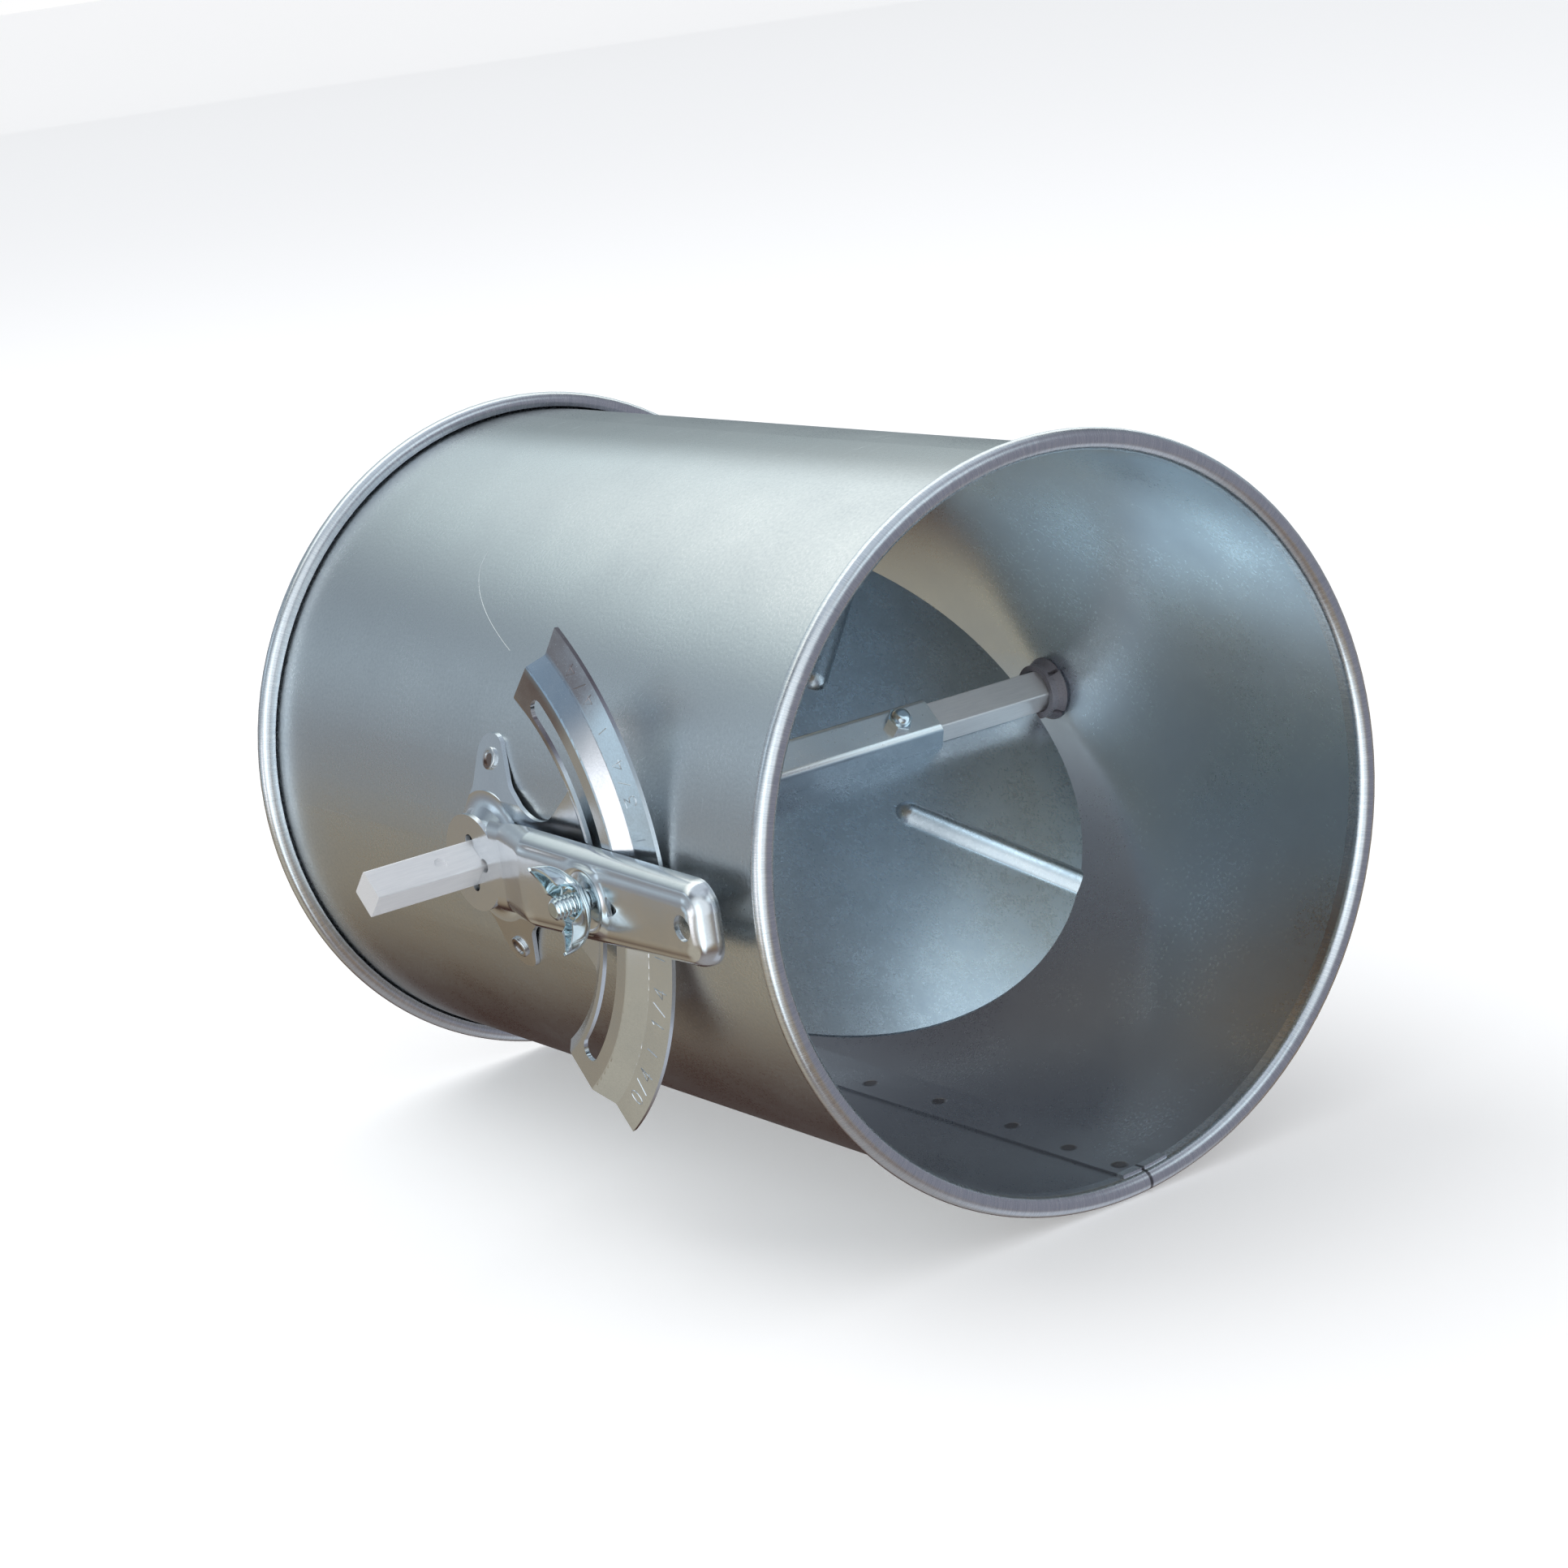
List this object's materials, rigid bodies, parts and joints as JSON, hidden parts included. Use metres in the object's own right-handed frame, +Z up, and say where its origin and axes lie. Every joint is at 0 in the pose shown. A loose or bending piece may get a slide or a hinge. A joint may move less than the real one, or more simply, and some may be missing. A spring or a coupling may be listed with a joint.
{
  "type": "duct butterfly damper",
  "caption": "Butterfly damper for round sheet-metal duct: a ribbed disc on a square shaft, turned by a pressed lever that a wing nut locks along a slotted quadrant plate.",
  "frame": {"origin": "where the shaft's axis crosses the duct's centre line, on the mount duct_run", "axes": "+X along the duct towards its near collar, the way the lever points; -Y along the shaft to the lever's side; +Z up, square to both"},
  "size_m": [0.2782, 0.2535, 0.2138],
  "materials": {
    "galvanised_sheet": "galvanised, fine spangle, satin",
    "zinc_plated_steel": "zinc plated, bright satin",
    "bright_zinc": "bright zinc plate, glossy",
    "rivet_steel": "zinc plated, with a brown dished head",
    "aluminium_bar": "extruded, satin",
    "nylon": "moulded nylon, satin"
  },
  "bodies": {
    "duct": {"duct_shell": "galvanised_sheet", "quadrant_plate": "zinc_plated_steel", "quadrant_rivets": "rivet_steel", "handle_side_bearing": "nylon", "far_side_bearing": "nylon"},
    "damper": {"damper_shaft": "aluminium_bar", "blade_disc": "galvanised_sheet", "shaft_saddle": "galvanised_sheet", "saddle_screws": "bright_zinc", "screw_washers": "bright_zinc", "cap_nuts": "bright_zinc", "handle_lever": "zinc_plated_steel"},
    "clamp_bolt": {"clamp_bolt": "bright_zinc"},
    "wing_nut": {"wing_nut": "bright_zinc"}
  },
  "joints": [
    {"name": "damper_turn", "type": "hinge", "parent": "duct", "child": "damper", "pos_m": [0, 0, 0], "axis": [0, -1, 0], "range_deg": [-45, 45]},
    {"name": "wing_nut_turn", "type": "hinge", "parent": "damper", "child": "wing_nut", "pos_m": [0.066, -0.115, 0], "axis": [0, -1, 0], "range_deg": [0, 345]},
    {"name": "bolt_slide", "type": "slide", "parent": "damper", "child": "clamp_bolt", "axis": [0, 1, 0], "range_m": [0, 0.00122]}
  ],
  "couplings": [
    {"joint": "bolt_slide", "follows": "wing_nut_turn", "m_per_rad": 0.00020213}
  ]
}
